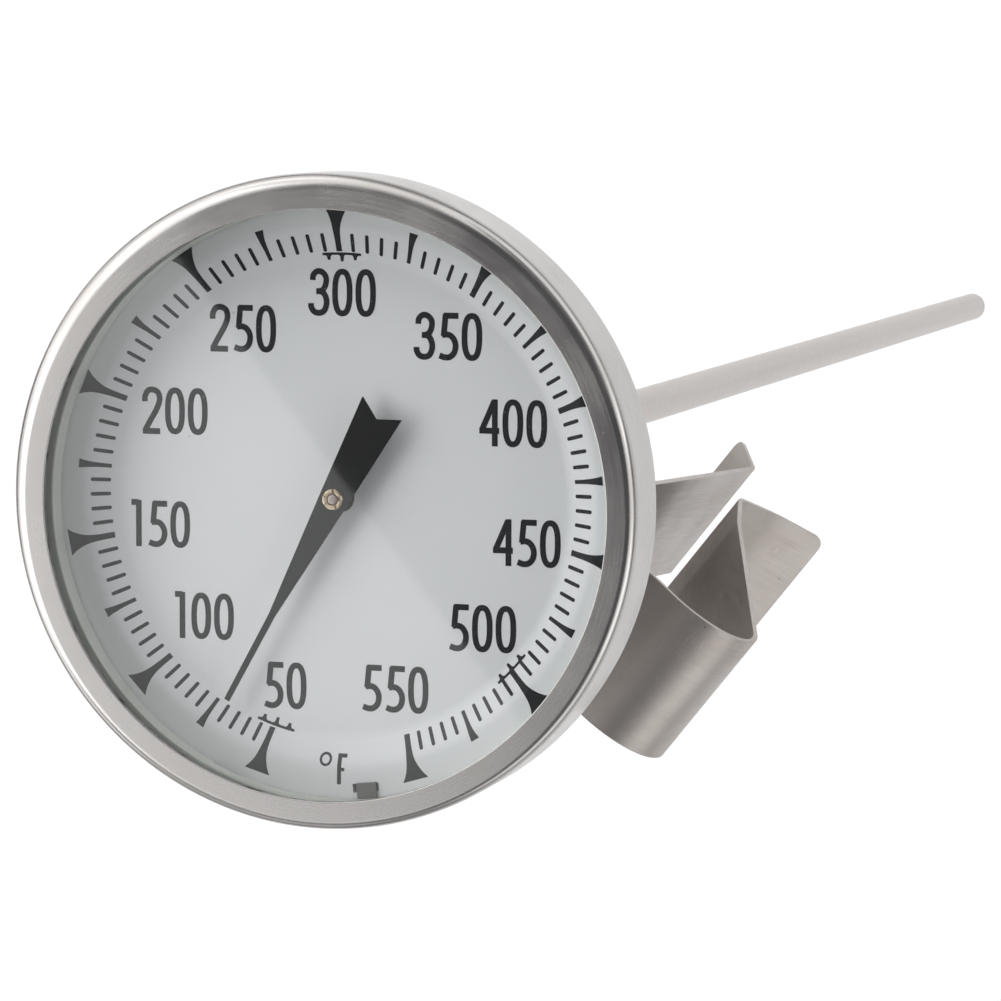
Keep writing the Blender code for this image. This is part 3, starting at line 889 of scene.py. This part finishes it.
def polar(radius, azimuth, shift=0.0):
    """A point of print by its radius and azimuth, shifted towards three o'clock."""
    a = radians(azimuth)
    return print_point(radius * sin(a) + shift, radius * cos(a))


def add_mark(bm, azimuth, rows, shift=0.0):
    """A radial mark from rows of (radius, half width)."""
    fine_rows = []
    for (r, half), (end, last) in zip(rows, rows[1:]):
        steps = max(1, round(abs(end - r) / (PRINT_STEP * MM)))
        for i in range(steps):
            share = i / steps
            fine_rows.append((r + (end - r) * share, half + (last - half) * share))
    fine_rows.append(rows[-1])
    left = [polar(r, azimuth - degrees(half / r), shift) for r, half in fine_rows]
    right = [polar(r, azimuth + degrees(half / r), shift) for r, half in fine_rows]
    add_strip(bm, left, right)


def flared(inner, outer, half_inner, half_outer, power, parts=10):
    """Rows of a mark with concave flanks, wide at its outer end."""
    rows = []
    for i in range(parts + 1):
        share = i / parts
        half = half_inner + (half_outer - half_inner) * share**power
        rows.append((inner + (outer - inner) * share, half))
    return rows


def make_scale():
    """Short, medium and major marks over the whole scale."""
    plain = [(r * MM, half * MM) for r, half in SHORT_MARK]
    medium = flared(*MEDIUM_MARK)
    major = flared(*MAJOR_MARK)
    bm = bmesh.new()
    for temperature in range(SCALE_LOW, SCALE_HIGH + 1, MARK_EVERY):
        rows = plain
        if temperature % MEDIUM_EVERY == 0:
            rows = medium
        if temperature % MAJOR_EVERY == 0:
            rows = major
        add_mark(bm, scale_azimuth(temperature), rows)
    finish_print("scale_marks", bm)


# The temperatures that are checked, and the arcs' radii and sweep
CHECKED = (50, 300, 500)
ARC_SHIFT = 0.20 * MM
ARC_RADII = (23.22 * MM, 23.10 * MM, 22.98 * MM)
ARC_HALF_SWEEP = 4.8
ARC_PARTS = 12
# Each tooth's azimuth from the arc's middle, and its length
TEETH = ((-3.3, 0.46 * MM), (0, 0.62 * MM), (3.3, 0.46 * MM))
TOOTH_ROOT = 0.12 * MM
TOOTH_HALF_WIDTHS = (0.34 * MM, 0.20 * MM, 0.13 * MM)


def make_calibration_marks():
    """An arc with its teeth inside each temperature that is checked."""
    bm = bmesh.new()
    foot = ARC_RADII[-1]
    for temperature in CHECKED:
        middle = scale_azimuth(temperature)
        sweep = [middle + ARC_HALF_SWEEP * (2 * i / ARC_PARTS - 1) for i in range(ARC_PARTS + 1)]
        for outer, inner in zip(ARC_RADII, ARC_RADII[1:]):
            edges = ([polar(radius, a, ARC_SHIFT) for a in sweep] for radius in (outer, inner))
            add_strip(bm, *edges)
        for offset, length in TEETH:
            tooth = list(zip((foot, foot - TOOTH_ROOT, foot - length), TOOTH_HALF_WIDTHS))
            add_mark(bm, middle + offset, tooth, ARC_SHIFT)
    finish_print("calibration_marks", bm)


def smooth_line(points, parts=6):
    """A Catmull-Rom line through the points."""
    if len(points) < 3:
        return [Vector(p) for p in points]
    p = [Vector(points[0]), *map(Vector, points), Vector(points[-1])]
    line = []
    for i in range(1, len(p) - 2):
        for k in range(parts):
            t = k / parts
            a, b, c, d = p[i - 1 : i + 3]
            square = 2 * a - 5 * b + 4 * c - d
            cube = 3 * b - a - 3 * c + d
            line.append((2 * b + (c - a) * t + square * t**2 + cube * t**3) / 2)
    line.append(p[-1])
    return line


# The numerals: width of their strokes, the nought's line, and the other digits' strokes, in
# millimetres from each digit's middle
STROKE = 0.57
NOUGHT = oval(0.73, 1.97, 40, power=2.5)
DIGITS = {
    "1": (
        ((-0.36, 2.02), (0.40, 2.02)),
        ((0.40, 2.24), (0.40, -2.24)),
    ),
    "2": (
        ((-0.74, 0.84), (-0.74, 1.30), (-0.45, 1.86), (0.05, 1.99), (0.58, 1.75), (0.76, 1.20),
         (0.66, 0.62), (0.34, -0.08), (-0.20, -0.98), (-0.72, -1.92)),
        ((-0.98, -2.00), (0.80, -2.00)),
    ),
    "3": (
        ((-0.62, 1.12), (-0.56, 1.62), (-0.15, 1.97), (0.35, 1.87), (0.70, 1.40), (0.66, 0.72),
         (0.38, 0.22), (-0.02, 0.08)),
        ((-0.28, 0.08), (0.20, 0.08)),
        ((0.10, 0.10), (0.48, -0.12), (0.73, -0.65), (0.73, -1.22), (0.48, -1.78), (0.00, -1.97),
         (-0.50, -1.84), (-0.77, -1.42), (-0.80, -1.06)),
    ),
    "4": (
        ((0.57, 2.20), (0.57, -2.22)),
        ((0.50, 2.02), (-0.70, -0.72)),
        ((-0.95, -0.76), (1.00, -0.76)),
    ),
    "5": (
        ((-0.44, 1.95), (1.00, 1.95)),
        ((-0.26, 2.10), (-0.45, 0.02)),
        ((-0.60, 0.12), (-0.08, 0.18), (0.34, 0.00), (0.65, -0.46), (0.72, -1.00), (0.56, -1.56),
         (0.16, -1.92), (-0.34, -1.97), (-0.86, -1.80)),
    ),
}
DIGIT_PITCH = 2.33
# Where each number's middle stands, towards three and twelve o'clock, in radii of the marks. All
# are then shifted together, in millimetres
NUMBER_SHIFT = (-0.28, -0.06)
NUMBERS = {
    50: (-0.220, -0.753),
    100: (-0.573, -0.491),
    150: (-0.757, -0.130),
    200: (-0.681, 0.322),
    250: (-0.393, 0.656),
    300: (0.020, 0.805),
    350: (0.454, 0.644),
    400: (0.717, 0.314),
    450: (0.774, -0.150),
    500: (0.596, -0.491),
    550: (0.238, -0.746),
}


# The degree ring and the F: where they stand, their sizes, and strokes as start, end and width
RING_PLACE = Vector((-1.11, -25.01))
RING_LINE = oval(0.50, 0.54, 24)
RING_STROKE = 0.24
F_PLACE = Vector((0.30, -25.88))
F_STROKES = (
    ((0, 1.45), (0, -1.45), 0.40),
    ((-0.20, 1.27), (0.70, 1.27), 0.36),
    ((0, -0.02), (0.52, -0.02), 0.32),
)


def straight(start, end):
    """Points along a straight line, close enough to lie on the dial's slope."""
    start = Vector(start)
    end = Vector(end)
    parts = max(1, round((end - start).length / PRINT_STEP))
    return [start + (end - start) * i / parts for i in range(parts + 1)]


def add_stroke(bm, line, origin, width, close=False, lift=0.0):
    """A printed stroke of one width along a line, in millimetres from its origin.

    Strokes that cross are lifted by different amounts, so that their tops do not coincide.
    """
    left = []
    right = []
    count = len(line)
    for i, point in enumerate(line):
        before = line[(i - 1) % count] if close or i > 0 else point
        after = line[(i + 1) % count] if close or i < count - 1 else point
        along = (after - before).normalized()
        across = Vector((-along.y, along.x)) * width / 2
        for side, offset in ((left, across), (right, -across)):
            side.append(print_point(*((origin + point + offset) * MM), lift))
    add_strip(bm, left, right, close)


def make_numbers():
    """The scale's numbers, upright on the dial."""
    bm = bmesh.new()
    for number, place in NUMBERS.items():
        middle = Vector(place) * MARK_RADIUS / MM + Vector(NUMBER_SHIFT)
        text = str(number)
        for i, digit in enumerate(text):
            origin = middle + Vector(((i - (len(text) - 1) / 2) * DIGIT_PITCH, 0))
            if digit == "0":
                add_stroke(bm, NOUGHT, origin, STROKE, close=True)
                continue
            for k, stroke in enumerate(DIGITS[digit]):
                add_stroke(bm, smooth_line(stroke), origin, STROKE, lift=k * INK_LIFT)
    finish_print("numerals", bm)


def make_unit():
    """The degree ring and the F at the foot of the dial."""
    bm = bmesh.new()
    add_stroke(bm, RING_LINE, RING_PLACE, RING_STROKE, close=True)
    for k, (start, end, width) in enumerate(F_STROKES):
        add_stroke(bm, straight(start, end), F_PLACE, width, lift=k * INK_LIFT)
    finish_print("unit", bm)


# ---- movement


def make_pointer():
    """A flat pointer with a notched tail and a hole for its hub."""
    half = [(x * MM, y * MM) for x, y in POINTER_OUTLINE]
    outline = half + [(-POINTER_NOTCH, 0)] + [(x, -y) for x, y in reversed(half)]
    hole = oval(POINTER_HOLE, POINTER_HOLE, 32)
    bm = bmesh.new()
    low = POINTER_HEIGHT - POINTER_SHEET / 2
    for loop in (outline, hole):
        points = [bm.verts.new((x, y, low)) for x, y in loop]
        for a, b in zip(points, points[1:] + points[:1]):
            bm.edges.new((a, b))
    bmesh.ops.triangle_fill(bm, edges=bm.edges, use_beauty=True)
    thicken(bm, POINTER_SHEET)
    turn_to(bm, POINTER_AZIMUTH)
    needle = finished("needle", bm, POINTER_LOOK, "movement", ["pointer"], smooth=False)
    soften(needle, POINTER_EDGE)


def make_hub():
    """A staked bush: a foot under the pointer, a neck through it and a head over it."""
    under = POINTER_HEIGHT - POINTER_SHEET / 2 - GAP
    over = POINTER_HEIGHT + POINTER_SHEET / 2 + GAP
    top = over + HUB_HEAD
    bore = SHAFT_RADIUS + GAP / 2
    rows = [
        (HUB_RADIUS, top, HUB_CROWN),
        (HUB_RADIUS, over, SHARP_EDGE),
        (HUB_NECK, over, HUB_NECK_EDGE),
        (HUB_NECK, under, HUB_NECK_EDGE),
        (HUB_FLANGE, under, HUB_FLANGE_EDGE),
        (HUB_FLANGE, under - HUB_FOOT, HUB_FLANGE_EDGE),
        (bore, under - HUB_FOOT, HUB_BORE_EDGE),
        (bore, top - HUB_CROWN, HUB_BORE_EDGE),
        (bore + HUB_CROWN, top, HUB_BORE_EDGE),
    ]
    bm = spun(rounded(rows, closed=True, step=18), MEDIUM)
    hub = finished("hub", bm, BRASS_LOOK, "movement", ["pointer_hub"])
    for azimuth, width in PUNCHES:
        punch = block(PUNCH_LENGTH, width, PUNCH_HEIGHT, azimuth, PUNCH_RADIUS, top)
        cut(hub, placed("punch", punch))
    soften(hub, HUB_CUT_EDGE)


def make_shaft():
    """The spindle, from above the hub down into the stem."""
    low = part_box("shaft")[0].z - DATUM.z
    rows = [
        (0, SHAFT_TOP, 0),
        (SHAFT_RADIUS, SHAFT_TOP, ROUND_EDGE),
        (SHAFT_RADIUS, low, SHAFT_FOOT_EDGE),
        (0, low, 0),
    ]
    bm = spun(rounded(rows, step=18), COARSE, closed=False)
    flatten(finished("spindle", bm, SPINDLE_LOOK, "movement", ["shaft"]))


# ---- stem and bush


def make_stem():
    """The stem's tube, and the plug that closes it with a rounded end."""
    tube_end = STEM_TIP + TIP_COLLAR + GAP
    rows = ring_rows(STEM_BORE, STEM_RADIUS, tube_end, STEM_TOP, STEM_EDGE)
    bm = spun(rounded(rows, closed=True, step=30), MEDIUM)
    flatten(finished("stem", bm, STEM_LOOK, "stem", ["stem_tube"]))

    spigot = STEM_BORE - GAP
    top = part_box("tip_plug")[1].z - DATUM.z
    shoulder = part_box("helix_anchor")[0].z - DATUM.z - GAP
    rows = [
        (0, top, 0),
        (SHAFT_RADIUS, top, STEM_EDGE),
        (SHAFT_RADIUS, shoulder, 0),
        (spigot, shoulder, STEM_EDGE),
        (spigot, STEM_TIP + TIP_COLLAR, 0),
        (STEM_RADIUS, STEM_TIP + TIP_COLLAR, EDGE),
        (STEM_RADIUS, STEM_TIP, STEM_RADIUS - TIP_FLAT),
        (0, STEM_TIP, 0),
    ]
    bm = spun(rounded(rows, step=10), MEDIUM, closed=False)
    flatten(finished("stem_end", bm, STEM_LOOK, "stem", ["tip_plug"]))


def make_bush():
    """A chamfered hexagon with a round neck that runs up into the case."""
    low = HEX_TOP - HEX_HEIGHT
    corner = HEX_ACROSS_FLATS / 2 / cos(pi / 6)
    hexagon = cylinder(corner, low, HEX_TOP, 6)
    bush = finished("bush", hexagon, PLAIN_LOOK, "stem", ["hex_bush"], smooth=False)
    outside = corner + GAP
    chamfer = outside - HEX_ACROSS_FLATS / 2
    rows = [
        (0, HEX_TOP, 0),
        (outside - chamfer, HEX_TOP, 0),
        (outside, HEX_TOP - chamfer / 2, 0),
        (outside, low + chamfer / 2, 0),
        (outside - chamfer, low, 0),
        (0, low, 0),
    ]
    cut(bush, placed("limit", spun(rounded(rows), MEDIUM, closed=False)), "INTERSECT")
    neck = cylinder(NECK_RADIUS, HEX_TOP - OVERRUN, STEM_TOP, MEDIUM)
    cut(bush, placed("neck", neck), "UNION")
    bore = cylinder(STEM_RADIUS + GAP, low - OVERRUN, STEM_TOP + OVERRUN, MEDIUM)
    cut(bush, placed("bore", bore))
    soften(bush, EDGE, angle=25)


def make_seal():
    """An O-ring between the hexagon and the case's back."""
    middle = Vector((SEAL_RADIUS, (HEX_TOP + CASE_BACK) / 2))
    section = [middle + point for point in oval(SEAL_THICKNESS / 2, -SEAL_THICKNESS / 2, 20)]
    finished("seal", spun(section, MEDIUM), RUBBER_LOOK, "stem", ["seal_ring"])


# ---- clip


def make_clip():
    """One strip, bent along its line, with rounded corners at both ends and a hole for the stem."""
    line = rounded([tuple(v * MM for v in row) for row in CLIP_LINE], step=5)
    near = CLIP_SHIFT - CLIP_WIDTH / 2
    far = CLIP_SHIFT + CLIP_WIDTH / 2
    bm = bmesh.new()
    add_strip(bm, [(p.x, near, p.y) for p in line], [(p.x, far, p.y) for p in line])
    bm.verts.ensure_lookup_table()
    corners = [v for v in bm.verts if len(v.link_faces) == 1]
    bmesh.ops.bevel(bm, geom=corners, offset=CLIP_CORNER, segments=6, profile=0.5, affect="VERTICES")
    bmesh.ops.recalc_face_normals(bm, faces=bm.faces)
    clip = finished("clip", bm, CLIP_LOOK, "clip", ["pan_clip"])
    sheet = clip.modifiers.new("sheet", "SOLIDIFY")
    sheet.thickness = CLIP_SHEET
    sheet.offset = 0
    sheet.use_even_offset = True
    bake(clip)
    cut(clip, placed("clip_hole", cylinder(CLIP_HOLE, CLIP_HOLE_LOW, CLIP_HOLE_HIGH, MEDIUM)))
    soften(clip, CLIP_EDGE, angle=40)


# ---- carried-over inner pieces


def dress_inner_pieces():
    """The pieces inside stem and case keep their CAD shape and get a finish."""
    looks = {
        "friction_washer": PLAIN_LOOK,
        "retaining_ring": PLAIN_LOOK,
        "upper_bushing": BRASS_LOOK,
        "lower_bushing": BRASS_LOOK,
        "helix_anchor": BRASS_LOOK,
        "helix_collar": BRASS_LOOK,
        "bimetal_helix": BIMETAL_LOOK,
    }
    for name, look in looks.items():
        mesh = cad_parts[name].data
        mesh.materials.clear()
        mesh.materials.append(look)


# ---- stage, camera and lights


def make_floor():
    """A plain pale floor below the stem's tip."""
    bm = bmesh.new()
    bmesh.ops.create_grid(bm, x_segments=8, y_segments=8, size=FLOOR_HALF_SIZE)
    look = Look("floor_paint", (0.955, 0.955, 0.955), 0.9, specular=0.1)
    floor = placed("floor", bm, look.material)
    floor.location = (0, 0, FLOOR)


def make_camera():
    """A long lens that looks down on the dial from one side."""
    data = bpy.data.cameras.new("camera")
    data.lens = CAMERA_LENS
    data.clip_start = CAMERA_CLIP
    camera = bpy.data.objects.new("camera", data)
    bpy.context.scene.collection.objects.link(camera)
    level = cos(CAMERA_ELEVATION)
    out = Vector((level * cos(CAMERA_AZIMUTH), level * sin(CAMERA_AZIMUTH), sin(CAMERA_ELEVATION)))
    camera.location = DATUM + out * CAMERA_DISTANCE
    look = DATUM + CAMERA_AIM - camera.location
    upright = look.to_track_quat("-Z", "Y").to_matrix()
    camera.rotation_euler = (upright @ Matrix.Rotation(-CAMERA_ROLL, 3, "Z")).to_euler()
    bpy.context.scene.camera = camera


def area_light(name, place, size, brightness):
    """A rectangular panel of even brightness, facing down. Its place is in dial axes."""
    data = bpy.data.lights.new(name, "AREA")
    data.shape = "RECTANGLE"
    data.size, data.size_y = size
    data.energy = brightness * pi * size[0] * size[1]
    lamp = bpy.data.objects.new(name, data)
    bpy.context.scene.collection.objects.link(lamp)
    lamp.location = DATUM + from_dial(*place)
    lamp.visible_camera = False
    return lamp


def aim(lamp, target):
    """Turns a panel to face a point in dial axes."""
    towards = DATUM + from_dial(*target) - lamp.location
    lamp.rotation_euler = towards.to_track_quat("-Z", "Y").to_euler()


def make_lights():
    """Soft studio panels all round."""
    # The near edge of this one is mirrored by the lens across the middle of the dial
    side = Vector((-VEIL_TOWARDS.y, VEIL_TOWARDS.x))
    middle = VEIL_TOWARDS * (VEIL_EDGE + VEIL_SIZE[0] / 2) + side * VEIL_SLIDE
    veil = area_light("veil_panel", (*middle, VEIL_HEIGHT), VEIL_SIZE, VEIL_BRIGHTNESS)
    veil.rotation_euler.z = TWELVE_OCLOCK - pi / 2 + atan2(VEIL_TOWARDS.y, VEIL_TOWARDS.x)
    for name, place, size, brightness in PANELS:
        aim(area_light(name, place, size, brightness), (0, 0, 0))
    for i, brightness in enumerate(LOW_BRIGHTNESS):
        a = pi / 4 + pi / 2 * i
        out = Vector((cos(a), sin(a)))
        place = (*out * LOW_REACH, LOW_HEIGHT)
        panel = area_light(f"floor_{i}", place, LOW_SIZE, brightness)
        aim(panel, (*out * LOW_AIM_REACH, LOW_AIM_HEIGHT))


def make_world():
    """A pale backdrop to the camera, and dimmer even light to everything else."""
    world = bpy.data.worlds.new("studio")
    world.use_nodes = True
    bpy.context.scene.world = world
    nodes, links = world.node_tree.nodes, world.node_tree.links
    background = nodes["Background"]
    where = nodes.new("ShaderNodeTexCoord").outputs["Generated"]
    height = nodes.new("ShaderNodeSeparateXYZ")
    links.new(where, height.inputs[0])
    ramp = nodes.new("ShaderNodeValToRGB")
    # A new ramp has two stops, at its ends
    stops = ramp.color_ramp.elements
    stops.new(0.5)
    for stop, (position, colour) in zip(stops, SKY):
        stop.position = position
        stop.color = (*colour, 1)
    links.new(height.outputs["Z"], ramp.inputs[0])
    seen = nodes.new("ShaderNodeLightPath").outputs["Is Camera Ray"]
    mix = nodes.new("ShaderNodeMix")
    mix.data_type = "RGBA"
    links.new(seen, mix.inputs[0])
    links.new(ramp.outputs[0], mix.inputs[6])
    mix.inputs[7].default_value = (*BACKDROP, 1)
    links.new(mix.outputs[2], background.inputs["Color"])
    bpy.context.scene.view_settings.view_transform = "Standard"
    bpy.context.scene.view_settings.look = "None"


make_bezel()
make_case()
make_lens()
make_gasket()
make_spacer()
make_dial()
make_scale()
make_calibration_marks()
make_numbers()
make_unit()
make_pointer()
make_hub()
make_shaft()
make_stem()
make_bush()
make_seal()
make_clip()
dress_inner_pieces()
make_floor()
make_camera()
make_lights()
make_world()
